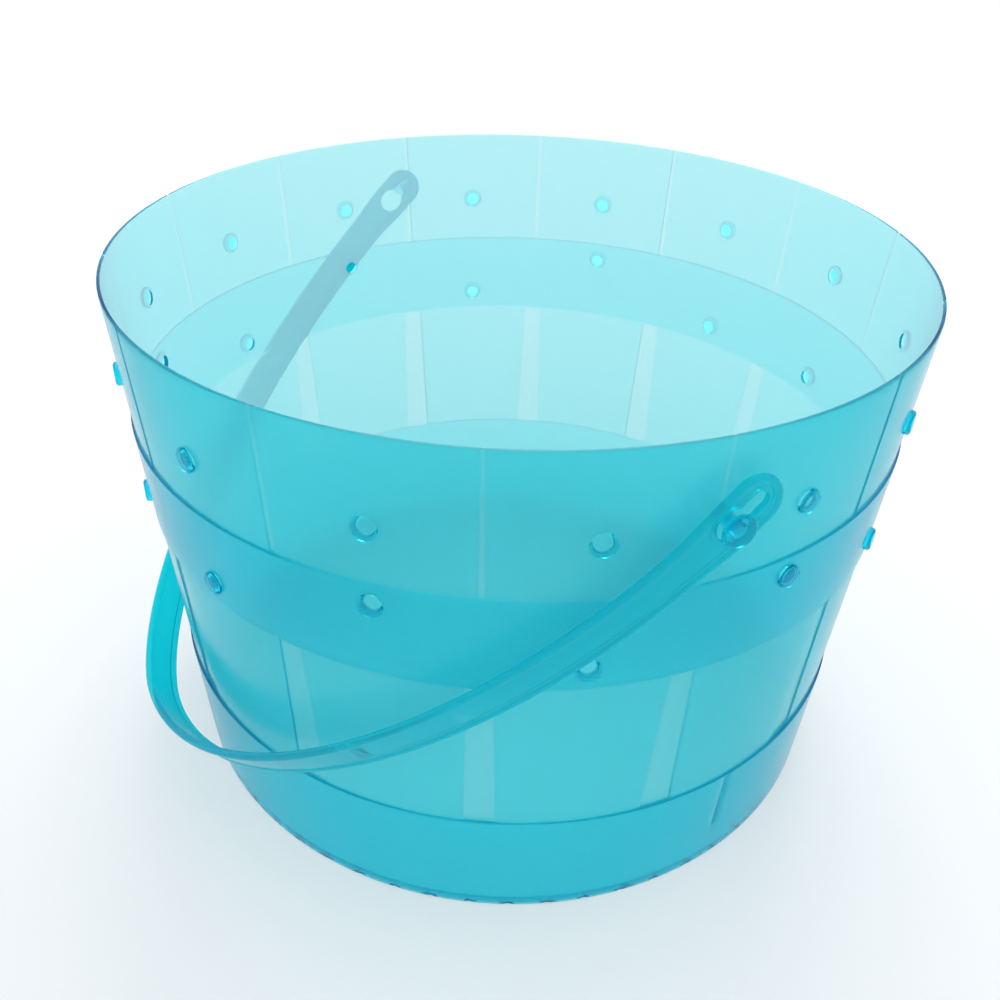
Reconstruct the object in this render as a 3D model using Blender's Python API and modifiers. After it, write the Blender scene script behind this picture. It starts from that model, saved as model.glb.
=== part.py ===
"""Small translucent plastic pail in the style of a bushel basket, with a swinging strap handle.

Metres, +Z up. The origin is the centre of the underside. The two handle studs lie on the X axis
and the handle hangs against the -Y side at rest.
"""

import math

import bmesh
import bpy
from mathutils import Matrix, Vector

MM = 0.001

# Wall, measured on the outside of the plain cone between hoops.
RIM_RADIUS = 108.0 * MM
FOOT_RADIUS = 98.6 * MM
HEIGHT = 148.0 * MM
WALL = 1.0 * MM
FLOOR = 1.2 * MM

# Hoops stand proud of the cone on the outside only, so the wall is thicker behind them.
HOOP_PROUD = 0.6 * MM
HOOP_STEP = 0.9 * MM
MID_HOOP_TOP = HEIGHT - 37.0 * MM
MID_HOOP_FOOT = HEIGHT - 63.6 * MM
FOOT_HOOP_TOP = HEIGHT - 112.0 * MM
RIM_EDGE = 0.25 * MM

STAVES = 14
STEPS_PER_STAVE = 8
STAVE_ANGLE = 2.0 * math.pi / STAVES
# Shallow flat channels between the staves. Those above the middle hoop are narrow, those below it wide.
SEAM_DEPTH = 0.35 * MM
SEAM_FLARE = 0.3 * MM
RIM_SEAM_WIDTH = 0.9 * MM
BAND_SEAM_WIDTH = 1.7 * MM
WALL_SEAM_WIDTH = 6.0 * MM
FOOT_SEAM_WIDTH = 8.4 * MM
SEAM_END = 0.6 * MM

# Short lap lines scored in the foot hoop, by angle from the +X stud.
LAP_ANGLES = (math.radians(12.9), math.radians(135.0))
LAP_WIDTH = 1.2 * MM
LAP_FOOT = 15.0 * MM

# Round nail heads moulded in the wall, hollowed from behind.
NAIL_RADIUS = 3.0 * MM
NAIL_PROUD = 1.3 * MM
NAIL_HOLLOW_RADIUS = 2.1 * MM
NAIL_CAP = 1.2 * MM
NAIL_SEGMENTS = 14
TOP_NAIL_Z = HEIGHT - 22.4 * MM
HIGH_NAIL_Z = HEIGHT - 42.8 * MM
LOW_NAIL_Z = HEIGHT - 57.3 * MM
# True marks a stave whose second nail is the high one, counted anticlockwise from the +X stud.
HIGH_NAILS = (True, False, True, False, False, True, False)

FOOT_NOTCHES = 60
NOTCH_WIDTH = 2.4 * MM
NOTCH_HEIGHT = 1.1 * MM
NOTCH_DEPTH = 0.7 * MM

# Headed studs that carry the handle.
STUD_Z = HEIGHT - 18.0 * MM
STUD_RADIUS = 1.6 * MM
STUD_HEAD_RADIUS = 3.7 * MM
STUD_HEAD_THICKNESS = 1.8 * MM
STUD_HEAD_BEVEL = 0.5 * MM
STUD_NECK = 6.2 * MM
STUD_SEGMENTS = 20

# Handle. Its arch is half a superellipse in one plane, and the strap stands square to that plane.
ARCH_HALF_SPAN = 111.4 * MM
ARCH_DEPTH = 151.0 * MM
ARCH_POWER = 1.8
ARCH_STEPS = 64
STRAP_WIDTH = 10.4 * MM
STRAP_THICKNESS = 1.5 * MM
RIB_WIDTH = 1.6 * MM
RIB_THICKNESS = 2.3 * MM
HANG_ANGLE = math.radians(46.6)

EYE_RADIUS = 6.3 * MM
EYE_THICKNESS = 2.0 * MM
EYE_INSET = 0.6 * MM
EYE_SEGMENTS = 32
EYE_TIP = 6.1 * MM
KEYHOLE_RADIUS = 4.0 * MM
SLOT_HALF_WIDTH = 2.1 * MM
SLOT_TRAVEL = 7.0 * MM

CUT_MARGIN = 0.5 * MM
MERGE = 0.00001

BUCKET_COLOUR = (0.05, 0.62, 0.72, 1.0)
HANDLE_COLOUR = (0.05, 0.60, 0.70, 1.0)
GLOSS_ROUGHNESS = 0.25
CLEARNESS = 0.5
SHARP_ANGLE = math.radians(35.0)


def clear_scene():
    """Leave an empty scene with one collection for the pail and one for its cutters."""
    for item in list(bpy.data.objects):
        bpy.data.objects.remove(item, do_unlink=True)
    collections = []
    for name in ("pail", "cutters"):
        collection = bpy.data.collections.new(name)
        bpy.context.scene.collection.children.link(collection)
        collections.append(collection)
    return collections


def plastic(name, colour):
    """Glossy translucent plastic."""
    material = bpy.data.materials.new(name)
    material.use_nodes = True
    shader = material.node_tree.nodes["Principled BSDF"]
    shader.inputs["Base Color"].default_value = colour
    shader.inputs["Roughness"].default_value = GLOSS_ROUGHNESS
    shader.inputs["Transmission Weight"].default_value = CLEARNESS
    return material


def cone_radius(z):
    """Outside radius of the plain cone at this height."""
    return FOOT_RADIUS + (RIM_RADIUS - FOOT_RADIUS) * z / HEIGHT


def outer_radius(z):
    """Outside radius with the hoops."""
    in_mid_hoop = MID_HOOP_FOOT < z < MID_HOOP_TOP
    in_foot_hoop = z < FOOT_HOOP_TOP
    return cone_radius(z) + (HOOP_PROUD if in_mid_hoop or in_foot_hoop else 0.0)


def outside_profile():
    """Points down the outside of the wall, from the rim to the underside."""
    half_step = HOOP_STEP / 2.0
    points = [(cone_radius(HEIGHT) - RIM_EDGE, HEIGHT)]
    points.append((cone_radius(HEIGHT), HEIGHT - RIM_EDGE))
    for edge, side in ((MID_HOOP_TOP, 1.0), (MID_HOOP_FOOT, -1.0), (FOOT_HOOP_TOP, 1.0)):
        for z in (edge + half_step, edge - half_step):
            proud = HOOP_PROUD if (z - edge) * side < 0.0 else 0.0
            points.append((cone_radius(z) + proud, z))
    points.append((cone_radius(half_step) + HOOP_PROUD, half_step))
    points.append((cone_radius(0.0) + HOOP_PROUD - half_step, 0.0))
    return points


def inside_profile():
    """Points up the inside of the wall, from the floor to the rim."""
    floor_radius = cone_radius(FLOOR) - WALL
    return [
        (floor_radius - HOOP_STEP, FLOOR),
        (floor_radius, FLOOR + HOOP_STEP),
        (cone_radius(HEIGHT) - WALL, HEIGHT - RIM_EDGE),
        (cone_radius(HEIGHT) - WALL + RIM_EDGE, HEIGHT),
    ]


def link_mesh(name, mesh_data, collection):
    """Make a linked object from a bmesh and free the bmesh."""
    mesh = bpy.data.meshes.new(name)
    bmesh.ops.recalc_face_normals(mesh_data, faces=mesh_data.faces)
    mesh_data.to_mesh(mesh)
    mesh_data.free()
    item = bpy.data.objects.new(name, mesh)
    collection.objects.link(item)
    return item


def revolve(name, profile, steps, collection):
    """Turn a profile of (radius, z) points, closed on the axis, about Z."""
    mesh = bpy.data.meshes.new(name)
    edges = [(index, index + 1) for index in range(len(profile) - 1)]
    mesh.from_pydata([(radius, 0.0, z) for radius, z in profile], edges, [])
    item = bpy.data.objects.new(name, mesh)
    collection.objects.link(item)
    screw = item.modifiers.new("turn", "SCREW")
    screw.steps = steps
    screw.render_steps = steps
    screw.use_merge_vertices = True
    screw.merge_threshold = MERGE
    item.data = applied(item)
    return item


def applied(item):
    """The item's mesh with its modifiers applied, and the modifiers taken off."""
    graph = bpy.context.evaluated_depsgraph_get()
    mesh = bpy.data.meshes.new_from_object(item.evaluated_get(graph))
    item.modifiers.clear()
    return mesh


def outward(angle):
    """Frame whose +X points outward at this angle and whose +Z stays up."""
    return Matrix.Rotation(angle, 4, "Z")


def add_cylinder(mesh_data, radius, start, end, segments, place):
    """Add a closed cylinder along the local X of place, between two distances."""
    turn = Matrix.Translation(((start + end) / 2.0, 0.0, 0.0)) @ Matrix.Rotation(math.pi / 2.0, 4, "Y")
    bmesh.ops.create_cone(
        mesh_data,
        cap_ends=True,
        segments=segments,
        radius1=radius,
        radius2=radius,
        depth=end - start,
        matrix=place @ turn,
    )


def add_box(mesh_data, low, high, place):
    """Add a box between two corners of the local frame."""
    span = Vector(high) - Vector(low)
    size = Matrix.Diagonal((*span, 1.0))
    middle = Matrix.Translation(Vector(low) + span / 2.0)
    bmesh.ops.create_cube(mesh_data, size=1.0, matrix=place @ middle @ size)


def boolean(target, other, operation):
    """Apply one exact Boolean and keep the result as the target's own mesh."""
    modifier = target.modifiers.new(operation.lower(), "BOOLEAN")
    modifier.solver = "EXACT"
    modifier.operation = operation
    modifier.object = other
    target.data = applied(target)


def hide(item):
    """Mark a helper as a cutter, not a part of the pail."""
    item.hide_render = True
    item.display_type = "WIRE"


def nail_places():
    """Angle and height of every nail head, two on each stave."""
    places = []
    for stave in range(STAVES):
        angle = (stave + 0.5) * STAVE_ANGLE
        high = HIGH_NAILS[stave % len(HIGH_NAILS)]
        places.append((angle, TOP_NAIL_Z))
        places.append((angle, HIGH_NAIL_Z if high else LOW_NAIL_Z))
    return places


def nail_heads(collection):
    """The outsides of the nail heads, rooted in the wall."""
    mesh_data = bmesh.new()
    for angle, z in nail_places():
        place = outward(angle) @ Matrix.Translation((outer_radius(z), 0.0, z))
        add_cylinder(mesh_data, NAIL_RADIUS, -WALL / 2.0, NAIL_PROUD, NAIL_SEGMENTS, place)
    return link_mesh("nail_heads", mesh_data, collection)


def nail_hollows(collection):
    """The hollows behind the nail heads, open to the inside."""
    mesh_data = bmesh.new()
    for angle, z in nail_places():
        place = outward(angle) @ Matrix.Translation((outer_radius(z), 0.0, z))
        reach = HOOP_PROUD + 2.0 * WALL
        depth = NAIL_PROUD - NAIL_CAP
        add_cylinder(mesh_data, NAIL_HOLLOW_RADIUS, -reach, depth, NAIL_SEGMENTS, place)
    return link_mesh("nail_hollows", mesh_data, collection)


def add_channel(mesh_data, angle, low, high, face):
    """Add a flat-bottomed channel cutter between two (z, width) ends, on the face radius face(z)."""
    corners = []
    for z, width in (low, high):
        floor_x = face(z) - SEAM_DEPTH
        half = width / 2.0
        reach = SEAM_DEPTH + CUT_MARGIN
        flare = SEAM_FLARE * reach / SEAM_DEPTH
        outline = ((floor_x, -half), (floor_x + reach, -half - flare))
        outline += ((floor_x + reach, half + flare), (floor_x, half))
        for x, y in outline:
            corners.append(mesh_data.verts.new(outward(angle) @ Vector((x, y, z))))
    bmesh.ops.convex_hull(mesh_data, input=corners)


def seam_cutter(collection):
    """Channels between the staves, above the middle hoop and between the two hoops."""
    mesh_data = bmesh.new()
    rim_end = (HEIGHT + CUT_MARGIN, RIM_SEAM_WIDTH)
    band_end = (MID_HOOP_TOP + SEAM_END, BAND_SEAM_WIDTH)
    wall_end = (MID_HOOP_FOOT - SEAM_END, WALL_SEAM_WIDTH)
    foot_end = (FOOT_HOOP_TOP + SEAM_END, FOOT_SEAM_WIDTH)
    for stave in range(STAVES):
        angle = stave * STAVE_ANGLE
        add_channel(mesh_data, angle, band_end, rim_end, cone_radius)
        add_channel(mesh_data, angle, foot_end, wall_end, cone_radius)
    for angle in LAP_ANGLES:
        lap_foot = (LAP_FOOT, LAP_WIDTH)
        lap_top = (FOOT_HOOP_TOP - SEAM_END, LAP_WIDTH)
        add_channel(mesh_data, angle, lap_foot, lap_top, outer_radius)
    return link_mesh("seam_cutter", mesh_data, collection)


def notch_cutter(collection):
    """Small notches round the outside edge of the foot."""
    mesh_data = bmesh.new()
    face = cone_radius(0.0) + HOOP_PROUD
    for notch in range(FOOT_NOTCHES):
        place = outward((notch + 0.5) * 2.0 * math.pi / FOOT_NOTCHES)
        low = (face - NOTCH_DEPTH, -NOTCH_WIDTH / 2.0, -CUT_MARGIN)
        high = (face + CUT_MARGIN, NOTCH_WIDTH / 2.0, NOTCH_HEIGHT)
        add_box(mesh_data, low, high, place)
    return link_mesh("notch_cutter", mesh_data, collection)


def studs(collection):
    """Two headed studs on the X axis, with the edge of each head bevelled."""
    mesh_data = bmesh.new()
    root = outer_radius(STUD_Z)
    tip = STUD_NECK + STUD_HEAD_THICKNESS
    rings = (
        (STUD_RADIUS, -WALL / 2.0),
        (STUD_RADIUS, STUD_NECK),
        (STUD_HEAD_RADIUS, STUD_NECK),
        (STUD_HEAD_RADIUS, tip - STUD_HEAD_BEVEL),
        (STUD_HEAD_RADIUS - STUD_HEAD_BEVEL, tip),
    )
    profile = [(0.0, rings[0][1]), *rings, (0.0, tip)]
    single = revolve("stud", profile, STUD_SEGMENTS, collection)
    for angle in (0.0, math.pi):
        place = outward(angle) @ Matrix.Translation((root, 0.0, STUD_Z))
        turned = single.data.copy()
        turned.transform(place @ Matrix.Rotation(math.pi / 2.0, 4, "Y"))
        mesh_data.from_mesh(turned)
    hide(single)
    return link_mesh("studs", mesh_data, collection)


def build_bucket(pail, cutters):
    """The whole moulded pail: wall, floor, hoops, seams, nail heads, studs and foot notches."""
    profile = [(0.0, FLOOR), *inside_profile(), *outside_profile(), (0.0, 0.0)]
    body = revolve("bucket_body", profile, STAVES * STEPS_PER_STAVE, pail)
    for helper, operation in (
        (seam_cutter(cutters), "DIFFERENCE"),
        (nail_heads(cutters), "UNION"),
        (nail_hollows(cutters), "DIFFERENCE"),
        (notch_cutter(cutters), "DIFFERENCE"),
        (studs(cutters), "UNION"),
    ):
        boolean(body, helper, operation)
        hide(helper)
    return body


def arch_line():
    """Points of the arch's middle line in its own plane, each with its direction out of the arch."""
    middles = []
    for step in range(ARCH_STEPS + 1):
        angle = math.pi * step / ARCH_STEPS
        across = abs(math.cos(angle)) ** (2.0 / ARCH_POWER)
        down = math.sin(angle) ** (2.0 / ARCH_POWER)
        side = 1.0 if math.cos(angle) >= 0.0 else -1.0
        middles.append(Vector((side * across * ARCH_HALF_SPAN, -down * ARCH_DEPTH, 0.0)))
    line = []
    for index, middle in enumerate(middles):
        along = (middles[min(index + 1, ARCH_STEPS)] - middles[max(index - 1, 0)]).normalized()
        if index in (0, ARCH_STEPS):
            along = Vector((0.0, -1.0 if index == 0 else 1.0, 0.0))
        line.append((middle, Vector((-along.y, along.x, 0.0))))
    return line


def strap_section():
    """Outline of the strap's section, a thin web with a rib along each edge, as (outward, across)."""
    half_width = STRAP_WIDTH / 2.0
    rib_foot = half_width - RIB_WIDTH
    rib = RIB_THICKNESS / 2.0
    web = STRAP_THICKNESS / 2.0
    half = [(rib, half_width), (rib, rib_foot), (web, rib_foot)]
    half += [(web, -rib_foot), (rib, -rib_foot), (rib, -half_width)]
    return half + [(-out, -across) for out, across in half]


def strap(name, collection):
    """The strap: its section carried along the arch."""
    mesh_data = bmesh.new()
    section = strap_section()
    count = len(section)
    rings = []
    for middle, out in arch_line():
        ring = []
        for distance, across in section:
            ring.append(mesh_data.verts.new(middle + out * distance + Vector((0.0, 0.0, across))))
        rings.append(ring)
    for first, second in zip(rings, rings[1:]):
        for index in range(count):
            after = (index + 1) % count
            mesh_data.faces.new((first[index], first[after], second[after], second[index]))
    mesh_data.faces.new(rings[0])
    mesh_data.faces.new(rings[-1])
    return link_mesh(name, mesh_data, collection)


def slab(name, outline, low, high, collection):
    """A prism along X from an outline of (y, z) points."""
    mesh_data = bmesh.new()
    face = mesh_data.faces.new([mesh_data.verts.new((low, y, z)) for y, z in outline])
    raised = bmesh.ops.extrude_face_region(mesh_data, geom=[face])
    top = [item for item in raised["geom"] if isinstance(item, bmesh.types.BMVert)]
    bmesh.ops.translate(mesh_data, verts=top, vec=(high - low, 0.0, 0.0))
    return link_mesh(name, mesh_data, collection)


def stadium(radius, travel, segments):
    """Outline round a circle at y = 0 and a second circle at y = travel."""
    outline = []
    for step in range(segments // 2 + 1):
        angle = math.pi + math.pi * step / (segments // 2)
        outline.append((radius * math.sin(angle), radius * math.cos(angle)))
    lower = [(y, z) for y, z in outline if y <= MERGE]
    upper = []
    for step in range(segments // 2 + 1):
        angle = math.pi * step / (segments // 2)
        upper.append((travel + radius * math.sin(angle), radius * math.cos(angle)))
    return lower + upper


def build_handle(pail, cutters):
    """The strap handle with a keyholed eye at each end, hung on the studs."""
    handle = strap("bail_handle", pail)
    helpers = []
    half_eye = EYE_THICKNESS / 2.0
    for side in (-1.0, 1.0):
        middle = side * (ARCH_HALF_SPAN - EYE_INSET)
        eye_outline = stadium(EYE_RADIUS, EYE_TIP, EYE_SEGMENTS)
        eye = slab("eye", eye_outline, middle - half_eye, middle + half_eye, cutters)
        helpers.append((eye, "UNION"))
    for side in (-1.0, 1.0):
        middle = side * (ARCH_HALF_SPAN - EYE_INSET)
        hole = bmesh.new()
        reach = 3.0 * EYE_THICKNESS
        add_cylinder(hole, KEYHOLE_RADIUS, middle - reach, middle + reach, EYE_SEGMENTS, Matrix())
        helpers.append((link_mesh("keyhole", hole, cutters), "DIFFERENCE"))
        slot_outline = stadium(SLOT_HALF_WIDTH, SLOT_TRAVEL, EYE_SEGMENTS // 2)
        slot = slab("slot", slot_outline, middle - reach, middle + reach, cutters)
        helpers.append((slot, "DIFFERENCE"))
    for helper, operation in helpers:
        boolean(handle, helper, operation)
        hide(helper)
    handle.data.transform(handle_place())
    return handle


def handle_place():
    """Turn the arch so that the +X eye's round hole and the -X eye's slot end sit on the studs."""
    lean = math.asin(SLOT_TRAVEL / (2.0 * ARCH_HALF_SPAN))
    near_eye = Matrix.Translation((ARCH_HALF_SPAN, 0.0, 0.0))
    in_plane = near_eye @ Matrix.Rotation(lean, 4, "Z") @ near_eye.inverted()
    hang = Matrix.Rotation(math.pi / 2.0 - HANG_ANGLE, 4, "X")
    return Matrix.Translation((0.0, 0.0, STUD_Z)) @ hang @ in_plane


def finish(item, material):
    """Give a finished piece its material and smooth shading."""
    item.data.materials.clear()
    item.data.materials.append(material)
    for polygon in item.data.polygons:
        polygon.material_index = 0
    item.data.shade_smooth()
    item.data.set_sharp_from_angle(angle=SHARP_ANGLE)


def main():
    pail, cutters = clear_scene()
    bucket = build_bucket(pail, cutters)
    handle = build_handle(pail, cutters)
    finish(bucket, plastic("bucket_body", BUCKET_COLOUR))
    finish(handle, plastic("bail_handle", HANDLE_COLOUR))


main()
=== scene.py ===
"""Looks of the small translucent pail: a finely moulded body and handle, their plastic, camera and light."""

import math

import bmesh
import bpy
from mathutils import Matrix, Vector


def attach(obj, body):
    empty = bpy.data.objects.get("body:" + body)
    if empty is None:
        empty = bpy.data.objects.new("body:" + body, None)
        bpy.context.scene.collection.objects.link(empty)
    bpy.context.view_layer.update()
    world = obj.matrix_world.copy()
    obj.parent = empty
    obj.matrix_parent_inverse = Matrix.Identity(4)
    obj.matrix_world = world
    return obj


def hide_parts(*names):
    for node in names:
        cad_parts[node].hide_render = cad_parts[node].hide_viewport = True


MM = 0.001

# Wall, measured on the outside of the plain cone between hoops.
RIM_RADIUS = 108.0 * MM
FOOT_RADIUS = 98.6 * MM
HEIGHT = 148.0 * MM
WALL = 1.0 * MM
FLOOR = 1.2 * MM
EDGE_ROUND = 0.35 * MM
FOOT_ROUND = 0.8 * MM
CORNER_ROUND = 1.6 * MM
EDGE_STEPS = 4
FOOT_STEPS = 5
CORNER_STEPS = 6

# Hoops stand proud on the outside only.
HOOP_PROUD = 0.6 * MM
HOOP_EDGE = 0.5 * MM
HOOP_EDGE_ROWS = 4
MID_HOOP_TOP = HEIGHT - 37.0 * MM
MID_HOOP_FOOT = HEIGHT - 63.6 * MM
FOOT_HOOP_TOP = HEIGHT - 112.0 * MM

# Staves and the shallow channels between them.
STAVES = 14
STAVE_ANGLE = 2.0 * math.pi / STAVES
CHANNEL_DEPTH = 0.35 * MM
CHANNEL_EDGE = 0.3 * MM
RIM_SEAM_WIDTH = 0.9 * MM
BAND_SEAM_WIDTH = 1.7 * MM
WALL_SEAM_WIDTH = 6.0 * MM
FOOT_SEAM_WIDTH = 8.4 * MM
STAVE_STEPS = 12
ROW_STEP = 3.0 * MM
FLOOR_RINGS = 14

# Hollow round nail heads.
NAIL_RADIUS = 3.0 * MM
NAIL_PROUD = 1.3 * MM
NAIL_ROUND = 0.8 * MM
NAIL_HOLLOW_RADIUS = 2.1 * MM
NAIL_CAP = 1.2 * MM
HOLLOW_ROUND = 0.4 * MM
NAIL_SEGMENTS = 40
NAIL_ROUND_STEPS = 5
HOLLOW_ROUND_STEPS = 4
TOP_NAIL_Z = HEIGHT - 22.4 * MM
HIGH_NAIL_Z = HEIGHT - 42.8 * MM
LOW_NAIL_Z = HEIGHT - 57.3 * MM
# True marks a stave whose second nail is the high one, counted anticlockwise from the +X stud.
HIGH_NAILS = (True, False, True, False, False, True, False)

# Scallops round the foot's outside edge.
FOOT_NOTCHES = 60
NOTCH_RADIUS = 2.6 * MM
NOTCH_TAPER = 0.8
NOTCH_SEGMENTS = 16
NOTCH_DEPTH = 1.4 * MM
NOTCH_DROP = 1.6 * MM

# Short scored lines in the foot hoop, where its ends would lap.
LAP_ANGLES = (math.radians(12.9), math.radians(135.0))
LAP_WIDTH = 1.2 * MM
LAP_FOOT = 15.0 * MM

# Headed studs that carry the handle.
STUD_Z = HEIGHT - 18.0 * MM
STUD_RADIUS = 1.6 * MM
STUD_HEAD_RADIUS = 3.7 * MM
STUD_HEAD_THICKNESS = 1.8 * MM
STUD_HEAD_ROUND = 0.6 * MM
STUD_HEAD_STEPS = 6
STUD_NECK = 6.2 * MM

# Handle: a thin strap with a round rib all the way round its edge.
ARCH_HALF_SPAN = 111.4 * MM
ARCH_DEPTH = 151.0 * MM
ARCH_POWER = 1.8
ARCH_STEPS = 128
STRAP_THICKNESS = 1.4 * MM
RIB_RADIUS = 1.1 * MM
RIB_SEGMENTS = 16
STRAP_RIB_AT = 4.3 * MM
EYE_RIB_AT = 5.2 * MM
EYE_TAPER = 16.0 * MM
EYE_TIP = 6.1 * MM
EYE_STEPS = 20
KEYHOLE_RADIUS = 4.0 * MM
SLOT_HALF_WIDTH = 2.1 * MM
SLOT_TRAVEL = 7.0 * MM
HANG_ANGLE = math.radians(46.6)

# Camera: it circles the rim's centre, then turns about its own axes.
CAMERA_AZIMUTH = math.radians(67.2)
CAMERA_ELEVATION = math.radians(19.93)
CAMERA_DISTANCE = 2.63 * RIM_RADIUS
CAMERA_PITCH = math.radians(-14.15)
CAMERA_YAW = math.radians(0.66)
CAMERA_ROLL = math.radians(2.04)
CAMERA_LENS = 37.0
CAMERA_SENSOR = 36.0
CAMERA_NEAR = 0.01

# How much light goes straight through each surface; the rest is scattered.
INSIDE_CLEARNESS = 0.5
OUTSIDE_CLEARNESS = 1.0
HANDLE_CLEARNESS = 0.72

# Depths below the pail's outside between which the milky inside gives way to clear plastic.
MILKY_DEPTH = 0.95 * WALL
CLEAR_DEPTH = 0.85 * WALL

# Plastic: surface tint, the tint it takes on with thickness and how fast, then its finish.
BUCKET_TINT = (0.96, 0.985, 0.985, 1.0)
BUCKET_DEPTH_TINT = (0.01, 0.93, 0.975, 1.0)
BUCKET_DENSITY = 1050.0
HANDLE_TINT = (0.03, 0.80, 0.88, 1.0)
HANDLE_DEPTH_TINT = (0.01, 0.95, 0.98, 1.0)
HANDLE_DENSITY = 700.0
PLASTIC_IOR = 1.2
PLASTIC_SPECULAR = 0.2
SMOOTHEST = 0.14
ROUGHEST = 0.26
GRAIN_SCALE = 900.0
GRAIN_DETAIL = 4.0
GRAIN_STRENGTH = 0.15
GRAIN_HEIGHT = 0.04 * MM
RIPPLE_SCALE = 35.0
RIPPLE_DETAIL = 3.0
RIPPLE_STRENGTH = 0.2
RIPPLE_HEIGHT = 0.3 * MM

# Sky, key light and table.
SKY_COLOUR = (0.97, 0.98, 1.0, 1.0)
SKY_LIFT = 0.6
SKY_NEAR_SIDE = -1.0
SKY_FAR_SIDE = 0.7
SKY_DIM = 0.7
SKY_BRIGHT = 1.0
KEY_PLACE = (-0.9, 0.5, 1.3)
KEY_SIZE = 0.9
KEY_POWER = 8.0
TABLE_SIZE = 3.0
TABLE_DROP = 0.3 * MM
TABLE_COLOUR = (0.58, 0.57, 0.58, 1.0)
TABLE_ROUGHNESS = 0.6
GLOW_COLOUR = (1.0, 1.0, 1.0, 1.0)
TABLE_GLOW = 0.38

MERGE = 0.00001
SHARP_ANGLE = math.radians(40.0)


def cone_radius(z):
    """Outside radius of the plain cone at this height."""
    return FOOT_RADIUS + (RIM_RADIUS - FOOT_RADIUS) * z / HEIGHT


def ramp(value, low, high):
    """Smooth step from 0 at low to 1 at high."""
    share = min(max((value - low) / (high - low), 0.0), 1.0)
    return share * share * (3.0 - 2.0 * share)


def hoop_height(z):
    """How far the hoops stand out at this height."""
    half = HOOP_EDGE / 2.0
    middle = ramp(z, MID_HOOP_FOOT - half, MID_HOOP_FOOT + half)
    middle -= ramp(z, MID_HOOP_TOP - half, MID_HOOP_TOP + half)
    foot = 1.0 - ramp(z, FOOT_HOOP_TOP - half, FOOT_HOOP_TOP + half)
    return HOOP_PROUD * (middle + foot)


def outer_radius(z):
    """Outside radius with the hoops."""
    return cone_radius(z) + hoop_height(z)


def seam_half_width(z):
    """Half the width of the channel between two staves."""
    if z > MID_HOOP_TOP:
        share = (z - MID_HOOP_TOP) / (HEIGHT - MID_HOOP_TOP)
        return (BAND_SEAM_WIDTH + (RIM_SEAM_WIDTH - BAND_SEAM_WIDTH) * share) / 2.0
    if z > MID_HOOP_FOOT:
        share = (z - MID_HOOP_FOOT) / (MID_HOOP_TOP - MID_HOOP_FOOT)
        return (WALL_SEAM_WIDTH + (BAND_SEAM_WIDTH - WALL_SEAM_WIDTH) * share) / 2.0
    share = max(z - FOOT_HOOP_TOP, 0.0) / (MID_HOOP_FOOT - FOOT_HOOP_TOP)
    return (FOOT_SEAM_WIDTH + (WALL_SEAM_WIDTH - FOOT_SEAM_WIDTH) * share) / 2.0


def channel_share(z):
    """1 where a hoop leaves the staves bare, 0 on a hoop."""
    return 1.0 - hoop_height(z) / HOOP_PROUD


def stave_offsets(z):
    """Distances along the wall from one seam to the next, the same count at every height."""
    half = seam_half_width(z)
    width = STAVE_ANGLE * cone_radius(z)
    edge = CHANNEL_EDGE / 2.0
    left = [0.0, half * 0.5, half - edge, half - edge / 3.0, half + edge / 3.0, half + edge]
    start = half + 3.0 * edge
    middle = [start + (width - 2.0 * start) * step / STAVE_STEPS for step in range(STAVE_STEPS + 1)]
    right = [width - distance for distance in reversed(left[1:])]
    return left + middle + right


def channel_depth(distance, z):
    """Depth of the channel at this distance along the wall from its seam."""
    half = seam_half_width(z)
    width = STAVE_ANGLE * cone_radius(z)
    near = min(distance, width - distance)
    inside = 1.0 - ramp(near, half - CHANNEL_EDGE / 2.0, half + CHANNEL_EDGE / 2.0)
    return CHANNEL_DEPTH * inside * channel_share(z)


def outer_rows():
    """Heights of the rows down the outside, close together where a hoop starts or ends."""
    heights = set()
    half = HOOP_EDGE / 2.0
    for edge in (MID_HOOP_TOP, MID_HOOP_FOOT, FOOT_HOOP_TOP):
        for step in range(-HOOP_EDGE_ROWS, HOOP_EDGE_ROWS + 1):
            heights.add(edge + half * step / 3.0)
    count = round(HEIGHT / ROW_STEP)
    for step in range(1, count):
        z = HEIGHT * step / count
        if all(abs(z - near) > ROW_STEP / 3.0 for near in heights):
            heights.add(z)
    inside = [z for z in heights if FOOT_ROUND * 1.5 < z < HEIGHT - EDGE_ROUND * 1.5]
    return sorted(inside, reverse=True)


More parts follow.
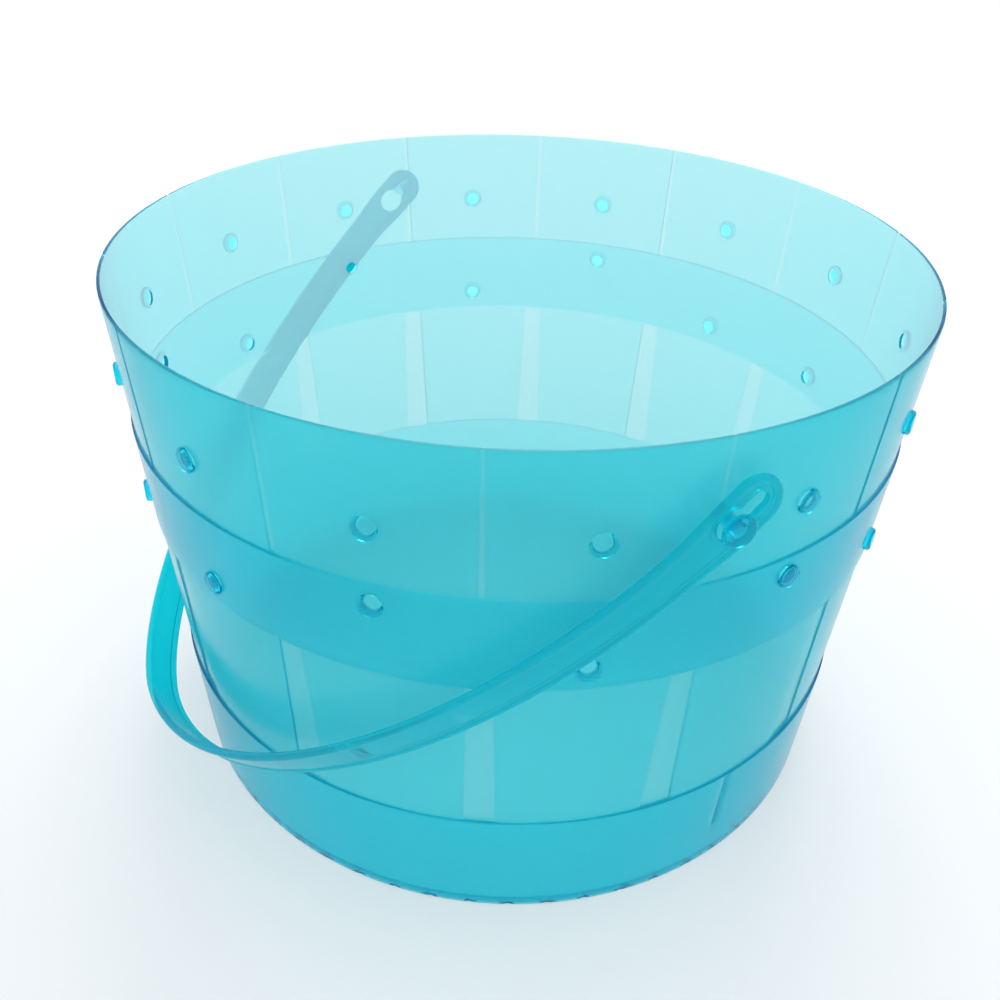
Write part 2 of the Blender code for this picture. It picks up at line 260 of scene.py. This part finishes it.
def wall_rings():
    """Rings of points round the pail, from the floor's middle over the rim to the underside."""
    rings = []
    inner_foot = cone_radius(FLOOR) - WALL
    for ring in range(1, FLOOR_RINGS):
        rings.append(plain_ring((inner_foot - CORNER_ROUND) * ring / FLOOR_RINGS, FLOOR))
    for step in range(CORNER_STEPS + 1):
        angle = math.pi / 2.0 * step / CORNER_STEPS
        radius = inner_foot - CORNER_ROUND * (1.0 - math.sin(angle))
        rings.append(plain_ring(radius, FLOOR + CORNER_ROUND * (1.0 - math.cos(angle))))
    rows = outer_rows()
    for z in reversed(rows):
        if z > FLOOR + 2.0 * CORNER_ROUND:
            rings.append(plain_ring(cone_radius(z) - WALL, z))
    for step in range(EDGE_STEPS + 1):
        angle = math.pi / 2.0 * step / EDGE_STEPS
        z = HEIGHT - EDGE_ROUND * (1.0 - math.sin(angle))
        rings.append(plain_ring(cone_radius(HEIGHT) - WALL + EDGE_ROUND * (1.0 - math.cos(angle)), z))
    for step in range(EDGE_STEPS + 1):
        angle = math.pi / 2.0 * step / EDGE_STEPS
        z = HEIGHT - EDGE_ROUND * (1.0 - math.cos(angle))
        rings.append(stave_ring(z, -EDGE_ROUND * (1.0 - math.sin(angle))))
    for z in rows:
        rings.append(stave_ring(z, 0.0))
    for step in range(FOOT_STEPS + 1):
        angle = math.pi / 2.0 * step / FOOT_STEPS
        z = FOOT_ROUND * (1.0 - math.sin(angle))
        rings.append(stave_ring(z, -FOOT_ROUND * (1.0 - math.cos(angle))))
    under = outer_radius(0.0) - FOOT_ROUND
    for ring in range(FLOOR_RINGS - 1, 0, -1):
        rings.append(plain_ring(under * ring / FLOOR_RINGS, 0.0))
    return rings


def ring_angles(z):
    """Angles of one ring's points."""
    angles = []
    for stave in range(STAVES):
        for distance in stave_offsets(z)[:-1]:
            angles.append(stave * STAVE_ANGLE + distance / cone_radius(z))
    return angles


def plain_ring(radius, z):
    """A smooth ring with the same point count as the outside rings."""
    return [(radius * math.cos(a), radius * math.sin(a), z) for a in ring_angles(z)]


def stave_ring(z, extra):
    """A ring on the outside, with its hoops and channels."""
    points = []
    for stave in range(STAVES):
        for distance in stave_offsets(z)[:-1]:
            angle = stave * STAVE_ANGLE + distance / cone_radius(z)
            radius = outer_radius(z) - channel_depth(distance, z) + extra
            points.append((radius * math.cos(angle), radius * math.sin(angle), z))
    return points


def link_mesh(name, mesh_data):
    """Make a linked object from a bmesh and free the bmesh."""
    mesh = bpy.data.meshes.new(name)
    bmesh.ops.recalc_face_normals(mesh_data, faces=mesh_data.faces)
    mesh_data.to_mesh(mesh)
    mesh_data.free()
    item = bpy.data.objects.new(name, mesh)
    bpy.context.scene.collection.objects.link(item)
    return item


def skin(mesh_data, rings, closed_ends):
    """Join equal rings into a tube. closed_ends fans each end to its middle; otherwise it is a loop."""
    loops = [[mesh_data.verts.new(point) for point in ring] for ring in rings]
    count = len(rings[0])
    pairs = list(zip(loops, loops[1:]))
    if not closed_ends:
        pairs.append((loops[-1], loops[0]))
    for first, second in pairs:
        for index in range(count):
            after = (index + 1) % count
            mesh_data.faces.new((first[index], first[after], second[after], second[index]))
    if closed_ends:
        for loop in (loops[0], loops[-1]):
            middle = mesh_data.verts.new(sum((corner.co for corner in loop), Vector()) / count)
            for index in range(count):
                mesh_data.faces.new((loop[index], loop[(index + 1) % count], middle))


def applied(item):
    """The item's mesh with its modifiers applied, and the modifiers taken off."""
    graph = bpy.context.evaluated_depsgraph_get()
    mesh = bpy.data.meshes.new_from_object(item.evaluated_get(graph))
    item.modifiers.clear()
    return mesh


def boolean(target, other, operation):
    """Apply one exact Boolean and remove the other piece."""
    modifier = target.modifiers.new(operation.lower(), "BOOLEAN")
    modifier.solver = "EXACT"
    modifier.operation = operation
    modifier.object = other
    target.data = applied(target)
    bpy.data.objects.remove(other, do_unlink=True)


def outward(angle):
    """Frame whose +X points outward at this angle and whose +Z stays up."""
    return Matrix.Rotation(angle, 4, "Z")


def turned(profile, segments):
    """A bmesh of a profile of (distance outward, radius) points turned about the local X axis."""
    mesh_data = bmesh.new()
    rings = []
    for distance, radius in profile:
        ring = []
        for step in range(segments):
            angle = 2.0 * math.pi * step / segments
            ring.append((distance, radius * math.cos(angle), radius * math.sin(angle)))
        rings.append(ring)
    skin(mesh_data, rings, True)
    return mesh_data


def copies(name, profile, segments, places):
    """One object holding a copy of the turned profile at each place."""
    single = bpy.data.meshes.new(name)
    shape = turned(profile, segments)
    bmesh.ops.recalc_face_normals(shape, faces=shape.faces)
    shape.to_mesh(single)
    shape.free()
    mesh_data = bmesh.new()
    for place in places:
        moved = single.copy()
        moved.transform(place)
        mesh_data.from_mesh(moved)
        bpy.data.meshes.remove(moved)
    bpy.data.meshes.remove(single)
    return link_mesh(name, mesh_data)


def rounded_end(radius, end, rounding, steps):
    """Profile points that round a turned shape's end."""
    points = []
    for step in range(steps + 1):
        angle = math.pi / 2.0 * step / steps
        distance = end - rounding * (1.0 - math.sin(angle))
        points.append((distance, radius - rounding * (1.0 - math.cos(angle))))
    return points


def nail_places():
    """Frame of every nail head on the wall's outside, two on each stave."""
    places = []
    for stave in range(STAVES):
        high = HIGH_NAILS[stave % len(HIGH_NAILS)]
        for z in (TOP_NAIL_Z, HIGH_NAIL_Z if high else LOW_NAIL_Z):
            turn = outward((stave + 0.5) * STAVE_ANGLE)
            places.append(turn @ Matrix.Translation((outer_radius(z), 0.0, z)))
    return places


def nail_heads():
    """Outsides of the nail heads."""
    profile = [(-WALL / 2.0, NAIL_RADIUS), (0.0, NAIL_RADIUS)]
    profile += rounded_end(NAIL_RADIUS, NAIL_PROUD, NAIL_ROUND, NAIL_ROUND_STEPS)
    profile.append((NAIL_PROUD, NAIL_RADIUS / 2.0))
    return copies("nail_heads", profile, NAIL_SEGMENTS, nail_places())


def nail_hollows():
    """Hollows behind the nail heads."""
    depth = NAIL_PROUD - NAIL_CAP
    profile = [(-HOOP_PROUD - 2.0 * WALL, NAIL_HOLLOW_RADIUS)]
    profile += rounded_end(NAIL_HOLLOW_RADIUS, depth, HOLLOW_ROUND, HOLLOW_ROUND_STEPS)
    profile.append((depth, NAIL_HOLLOW_RADIUS / 2.0))
    return copies("nail_hollows", profile, NAIL_SEGMENTS, nail_places())


def studs():
    """The two headed studs on the X axis."""
    tip = STUD_NECK + STUD_HEAD_THICKNESS
    profile = [(-WALL / 2.0, STUD_RADIUS), (STUD_NECK - 2.0 * EDGE_ROUND, STUD_RADIUS)]
    profile.append((STUD_NECK, STUD_RADIUS + EDGE_ROUND))
    profile.append((STUD_NECK, STUD_HEAD_RADIUS - EDGE_ROUND))
    profile.append((STUD_NECK + EDGE_ROUND, STUD_HEAD_RADIUS))
    profile += rounded_end(STUD_HEAD_RADIUS, tip, STUD_HEAD_ROUND, STUD_HEAD_STEPS)
    profile.append((tip - EDGE_ROUND / 2.0, STUD_HEAD_RADIUS / 2.0))
    places = []
    for angle in (0.0, math.pi):
        places.append(outward(angle) @ Matrix.Translation((outer_radius(STUD_Z), 0.0, STUD_Z)))
    return copies("studs", profile, NAIL_SEGMENTS, places)


def foot_notches():
    """Small scallops round the outside edge of the foot."""
    profile = [(-NOTCH_DEPTH, NOTCH_RADIUS * NOTCH_TAPER), (HOOP_PROUD, NOTCH_RADIUS)]
    places = []
    for notch in range(FOOT_NOTCHES):
        turn = outward((notch + 0.5) * 2.0 * math.pi / FOOT_NOTCHES)
        places.append(turn @ Matrix.Translation((outer_radius(0.0), 0.0, -NOTCH_DROP)))
    return copies("foot_notches", profile, NOTCH_SEGMENTS, places)


def lap_lines():
    """Shallow scored lines in the foot hoop."""
    mesh_data = bmesh.new()
    for angle in LAP_ANGLES:
        corners = []
        for z in (LAP_FOOT, FOOT_HOOP_TOP - HOOP_EDGE):
            root = outer_radius(z) - CHANNEL_DEPTH
            face = root + 2.0 * CHANNEL_DEPTH
            for x, y in ((root, 0.0), (face, -LAP_WIDTH), (face, LAP_WIDTH)):
                corners.append(mesh_data.verts.new(outward(angle) @ Vector((x, y, z))))
        bmesh.ops.convex_hull(mesh_data, input=corners)
    return link_mesh("lap_lines", mesh_data)


def build_bucket():
    """The whole moulded pail."""
    mesh_data = bmesh.new()
    skin(mesh_data, wall_rings(), True)
    body = link_mesh("bucket_body_moulded", mesh_data)
    boolean(body, nail_heads(), "UNION")
    boolean(body, nail_hollows(), "DIFFERENCE")
    boolean(body, foot_notches(), "DIFFERENCE")
    boolean(body, lap_lines(), "DIFFERENCE")
    boolean(body, studs(), "UNION")
    return body


def arch_centre(step):
    """Point of the arch's middle line, in the arch plane."""
    angle = math.pi * step / ARCH_STEPS
    side = 1.0 if math.cos(angle) >= 0.0 else -1.0
    across = side * abs(math.cos(angle)) ** (2.0 / ARCH_POWER) * ARCH_HALF_SPAN
    down = math.sin(angle) ** (2.0 / ARCH_POWER) * ARCH_DEPTH
    return Vector((across, -down, 0.0))


def strap_line():
    """Points along the strap from one eye's tip to the other's, each with its outward direction."""
    middles = [arch_centre(step) for step in range(ARCH_STEPS + 1)]
    line = []
    for index, middle in enumerate(middles):
        along = (middles[min(index + 1, ARCH_STEPS)] - middles[max(index - 1, 0)]).normalized()
        if index in (0, ARCH_STEPS):
            along = Vector((0.0, -1.0 if index == 0 else 1.0, 0.0))
        line.append((middle, Vector((-along.y, along.x, 0.0))))
    return line


def rib_offset(middle):
    """How far each rib's middle is from the strap's middle line: wider at the eyes."""
    return EYE_RIB_AT + (STRAP_RIB_AT - EYE_RIB_AT) * ramp(-middle.y, 0.0, EYE_TAPER)


def strap_plate():
    """The thin web between the ribs, with a round end at each eye."""
    mesh_data = bmesh.new()
    half = STRAP_THICKNESS / 2.0
    rings = []
    for middle, out in strap_line():
        across = Vector((0.0, 0.0, rib_offset(middle)))
        corners = (out * half - across, out * half + across, -out * half + across, -out * half - across)
        rings.append([middle + corner for corner in corners])
    skin(mesh_data, rings, True)
    plate = link_mesh("bail_handle_moulded", mesh_data)
    for side in (-1.0, 1.0):
        boolean(plate, eye_plate(side), "UNION")
    return plate


def stadium_prism(name, side, radius, travel, thickness):
    """A prism along X round two equal circles, one at the eye's round hole and one up the tip."""
    mesh_data = bmesh.new()
    centre = side * ARCH_HALF_SPAN
    half_turn = NAIL_SEGMENTS // 2
    corners = []
    for x in (centre - thickness / 2.0, centre + thickness / 2.0):
        for step in range(half_turn + 1):
            angle = math.pi * step / half_turn
            rise = radius * math.sin(angle)
            across = radius * math.cos(angle)
            corners.append(mesh_data.verts.new((x, travel + rise, across)))
            corners.append(mesh_data.verts.new((x, -rise, across)))
    bmesh.ops.convex_hull(mesh_data, input=corners)
    bmesh.ops.remove_doubles(mesh_data, verts=mesh_data.verts, dist=MERGE)
    return link_mesh(name, mesh_data)


def eye_plate(side):
    """Web of one eye, as thick as the strap's web."""
    return stadium_prism("eye_plate", side, EYE_RIB_AT, EYE_TIP, STRAP_THICKNESS)


def rib_loop():
    """One round rib that follows both edges of the strap and goes round both eyes."""
    line = strap_line()
    path = [(middle + Vector((0.0, 0.0, rib_offset(middle))), out) for middle, out in line]
    path += eye_turn(-1.0)
    path += [(middle - Vector((0.0, 0.0, rib_offset(middle))), out) for middle, out in reversed(line)]
    path += eye_turn(1.0)
    mesh_data = bmesh.new()
    rings = []
    count = len(path)
    for index, (centre, out) in enumerate(path):
        along = (path[(index + 1) % count][0] - path[index - 1][0]).normalized()
        beside = along.cross(out).normalized()
        ring = []
        for step in range(RIB_SEGMENTS):
            angle = 2.0 * math.pi * step / RIB_SEGMENTS
            ring.append(centre + RIB_RADIUS * (out * math.cos(angle) + beside * math.sin(angle)))
        rings.append(ring)
    skin(mesh_data, rings, False)
    return link_mesh("rib_loop", mesh_data)


def eye_turn(side):
    """Points of the rib round one eye's tip, in the order in which the loop reaches them."""
    points = []
    for step in range(EYE_STEPS + 1):
        angle = math.pi * step / EYE_STEPS
        y = EYE_TIP + EYE_RIB_AT * math.sin(angle)
        z = -side * EYE_RIB_AT * math.cos(angle)
        points.append((Vector((side * ARCH_HALF_SPAN, y, z)), Vector((side, 0.0, 0.0))))
    return points


def keyhole(side):
    """Cutter for one eye's round hole."""
    centre = side * ARCH_HALF_SPAN
    reach = 3.0 * STRAP_THICKNESS
    place = Matrix.Translation((centre, 0.0, 0.0))
    profile = [(-reach, KEYHOLE_RADIUS), (reach, KEYHOLE_RADIUS)]
    return copies("keyhole", profile, NAIL_SEGMENTS, [place])


def handle_place():
    """Turn the arch so that the +X eye's round hole and the -X eye's slot end sit on the studs."""
    lean = math.asin(SLOT_TRAVEL / (2.0 * ARCH_HALF_SPAN))
    near_eye = Matrix.Translation((ARCH_HALF_SPAN, 0.0, 0.0))
    in_plane = near_eye @ Matrix.Rotation(lean, 4, "Z") @ near_eye.inverted()
    hang = Matrix.Rotation(math.pi / 2.0 - HANG_ANGLE, 4, "X")
    return Matrix.Translation((0.0, 0.0, STUD_Z)) @ hang @ in_plane


def build_handle():
    """The strap handle, hung on the studs."""
    handle = strap_plate()
    boolean(handle, rib_loop(), "UNION")
    for side in (-1.0, 1.0):
        boolean(handle, keyhole(side), "DIFFERENCE")
        slot = stadium_prism("slot", side, SLOT_HALF_WIDTH, SLOT_TRAVEL, 6.0 * STRAP_THICKNESS)
        boolean(handle, slot, "DIFFERENCE")
    handle.data.transform(handle_place())
    return handle


def plastic(name, tint, depth_tint, density):
    """Clear moulded plastic that takes on colour with thickness, with a faint grain and ripple."""
    material = bpy.data.materials.new(name)
    material.use_nodes = True
    tree = material.node_tree
    shader = tree.nodes["Principled BSDF"]
    shader.inputs["Base Color"].default_value = tint
    shader.inputs["Transmission Weight"].default_value = HANDLE_CLEARNESS
    shader.inputs["IOR"].default_value = PLASTIC_IOR
    shader.inputs["Specular IOR Level"].default_value = PLASTIC_SPECULAR
    coordinates = tree.nodes.new("ShaderNodeTexCoord")
    grain = tree.nodes.new("ShaderNodeTexNoise")
    grain.inputs["Scale"].default_value = GRAIN_SCALE
    grain.inputs["Detail"].default_value = GRAIN_DETAIL
    flow = tree.nodes.new("ShaderNodeTexNoise")
    flow.inputs["Scale"].default_value = RIPPLE_SCALE
    flow.inputs["Detail"].default_value = RIPPLE_DETAIL
    tree.links.new(coordinates.outputs["Object"], grain.inputs["Vector"])
    tree.links.new(coordinates.outputs["Object"], flow.inputs["Vector"])
    rough = tree.nodes.new("ShaderNodeMapRange")
    rough.inputs["To Min"].default_value = SMOOTHEST
    rough.inputs["To Max"].default_value = ROUGHEST
    tree.links.new(flow.outputs["Fac"], rough.inputs["Value"])
    tree.links.new(rough.outputs["Result"], shader.inputs["Roughness"])
    ripple = tree.nodes.new("ShaderNodeBump")
    ripple.inputs["Strength"].default_value = RIPPLE_STRENGTH
    ripple.inputs["Distance"].default_value = RIPPLE_HEIGHT
    tree.links.new(flow.outputs["Fac"], ripple.inputs["Height"])
    bump = tree.nodes.new("ShaderNodeBump")
    bump.inputs["Strength"].default_value = GRAIN_STRENGTH
    bump.inputs["Distance"].default_value = GRAIN_HEIGHT
    tree.links.new(grain.outputs["Fac"], bump.inputs["Height"])
    tree.links.new(ripple.outputs["Normal"], bump.inputs["Normal"])
    tree.links.new(bump.outputs["Normal"], shader.inputs["Normal"])
    depth = tree.nodes.new("ShaderNodeVolumeAbsorption")
    depth.inputs["Color"].default_value = depth_tint
    depth.inputs["Density"].default_value = density
    output = tree.nodes["Material Output"]
    tree.links.new(depth.outputs["Volume"], output.inputs["Volume"])
    return material


def frost_inside(material):
    """Make the pail's inside milky and leave its outside clear, told apart by distance from the axis."""
    tree = material.node_tree
    place = tree.nodes.new("ShaderNodeTexCoord")
    split = tree.nodes.new("ShaderNodeSeparateXYZ")
    tree.links.new(place.outputs["Object"], split.inputs["Vector"])
    level = tree.nodes.new("ShaderNodeCombineXYZ")
    tree.links.new(split.outputs["X"], level.inputs["X"])
    tree.links.new(split.outputs["Y"], level.inputs["Y"])
    radius = tree.nodes.new("ShaderNodeVectorMath")
    radius.operation = "LENGTH"
    tree.links.new(level.outputs["Vector"], radius.inputs[0])
    taper = tree.nodes.new("ShaderNodeMath")
    taper.operation = "MULTIPLY_ADD"
    taper.inputs[1].default_value = (FOOT_RADIUS - RIM_RADIUS) / HEIGHT
    tree.links.new(split.outputs["Z"], taper.inputs[0])
    tree.links.new(radius.outputs["Value"], taper.inputs[2])
    clear = tree.nodes.new("ShaderNodeMapRange")
    clear.inputs["From Min"].default_value = FOOT_RADIUS - MILKY_DEPTH
    clear.inputs["From Max"].default_value = FOOT_RADIUS - CLEAR_DEPTH
    clear.inputs["To Min"].default_value = INSIDE_CLEARNESS
    clear.inputs["To Max"].default_value = OUTSIDE_CLEARNESS
    tree.links.new(taper.outputs["Value"], clear.inputs["Value"])
    tree.links.new(clear.outputs["Result"], tree.nodes["Principled BSDF"].inputs["Transmission Weight"])


def finish_piece(item, material, body, node):
    """Shade a piece, tie it to its body and hide the CAD part it stands in for."""
    item.data.materials.clear()
    item.data.materials.append(material)
    for polygon in item.data.polygons:
        polygon.material_index = 0
    item.data.shade_smooth()
    item.data.set_sharp_from_angle(angle=SHARP_ANGLE)
    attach(item, body)
    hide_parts(node)


def build_floor():
    """A plain pale table top that glows faintly, just under the pail."""
    mesh_data = bmesh.new()
    bmesh.ops.create_grid(mesh_data, x_segments=1, y_segments=1, size=TABLE_SIZE)
    floor = link_mesh("floor", mesh_data)
    floor.location.z = -TABLE_DROP
    material = bpy.data.materials.new("floor")
    material.use_nodes = True
    shader = material.node_tree.nodes["Principled BSDF"]
    shader.inputs["Base Color"].default_value = TABLE_COLOUR
    shader.inputs["Roughness"].default_value = TABLE_ROUGHNESS
    shader.inputs["Emission Color"].default_value = GLOW_COLOUR
    shader.inputs["Emission Strength"].default_value = TABLE_GLOW
    floor.data.materials.append(material)


def area_light(name, place, aim, size, power):
    """A soft square lamp that points at aim."""
    data = bpy.data.lights.new(name, "AREA")
    data.size = size
    data.energy = power
    lamp = bpy.data.objects.new(name, data)
    lamp.location = place
    lamp.rotation_euler = (Vector(aim) - Vector(place)).to_track_quat("-Z", "Y").to_euler()
    bpy.context.scene.collection.objects.link(lamp)


def build_sky():
    """A pale sky that is brightest behind and above the pail and dimmer on the camera's side."""
    world = bpy.data.worlds.new("world")
    bpy.context.scene.world = world
    world.use_nodes = True
    tree = world.node_tree
    place = tree.nodes.new("ShaderNodeTexCoord")
    side = tree.nodes.new("ShaderNodeVectorMath")
    side.operation = "DOT_PRODUCT"
    side.inputs[1].default_value = (-math.sin(CAMERA_AZIMUTH), math.cos(CAMERA_AZIMUTH), SKY_LIFT)
    tree.links.new(place.outputs["Generated"], side.inputs[0])
    strength = tree.nodes.new("ShaderNodeMapRange")
    strength.inputs["From Min"].default_value = SKY_NEAR_SIDE
    strength.inputs["From Max"].default_value = SKY_FAR_SIDE
    strength.inputs["To Min"].default_value = SKY_DIM
    strength.inputs["To Max"].default_value = SKY_BRIGHT
    tree.links.new(side.outputs["Value"], strength.inputs["Value"])
    sky = tree.nodes["Background"]
    sky.inputs["Color"].default_value = SKY_COLOUR
    tree.links.new(strength.outputs["Result"], sky.inputs["Strength"])


def build_light():
    """Soft white light from above and behind."""
    middle = (0.0, 0.0, HEIGHT / 2.0)
    area_light("key", KEY_PLACE, middle, KEY_SIZE, KEY_POWER)


def build_camera():
    """The camera, above the rim and looking down at the pail."""
    data = bpy.data.cameras.new("camera")
    data.lens = CAMERA_LENS
    data.sensor_width = CAMERA_SENSOR
    data.clip_start = CAMERA_NEAR
    camera = bpy.data.objects.new("camera", data)
    level = CAMERA_DISTANCE * math.cos(CAMERA_ELEVATION)
    offset = Vector((math.sin(CAMERA_AZIMUTH) * level, -math.cos(CAMERA_AZIMUTH) * level, 0.0))
    offset.z = CAMERA_DISTANCE * math.sin(CAMERA_ELEVATION)
    aim = (-offset).to_track_quat("-Z", "Y").to_matrix().to_4x4()
    turn = Matrix.Rotation(CAMERA_YAW, 4, "Y") @ Matrix.Rotation(CAMERA_PITCH, 4, "X")
    turn = turn @ Matrix.Rotation(CAMERA_ROLL, 4, "Z")
    place = Matrix.Translation(Vector((0.0, 0.0, HEIGHT)) + offset)
    camera.matrix_world = place @ aim @ turn
    bpy.context.scene.collection.objects.link(camera)
    bpy.context.scene.camera = camera


bpy.context.scene.view_settings.view_transform = "Standard"
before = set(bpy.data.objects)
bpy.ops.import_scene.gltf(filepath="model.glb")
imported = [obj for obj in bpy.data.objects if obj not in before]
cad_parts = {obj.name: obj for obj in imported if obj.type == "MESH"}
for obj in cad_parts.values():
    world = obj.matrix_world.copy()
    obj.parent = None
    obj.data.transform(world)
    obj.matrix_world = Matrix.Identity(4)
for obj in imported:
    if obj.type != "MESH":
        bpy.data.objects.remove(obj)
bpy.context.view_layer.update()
build_camera()
build_floor()
build_sky()
build_light()
bucket_plastic = plastic("bucket_plastic", BUCKET_TINT, BUCKET_DEPTH_TINT, BUCKET_DENSITY)
frost_inside(bucket_plastic)
handle_plastic = plastic("handle_plastic", HANDLE_TINT, HANDLE_DEPTH_TINT, HANDLE_DENSITY)
finish_piece(build_bucket(), bucket_plastic, "bucket", "bucket_body")
finish_piece(build_handle(), handle_plastic, "bail", "bail_handle")
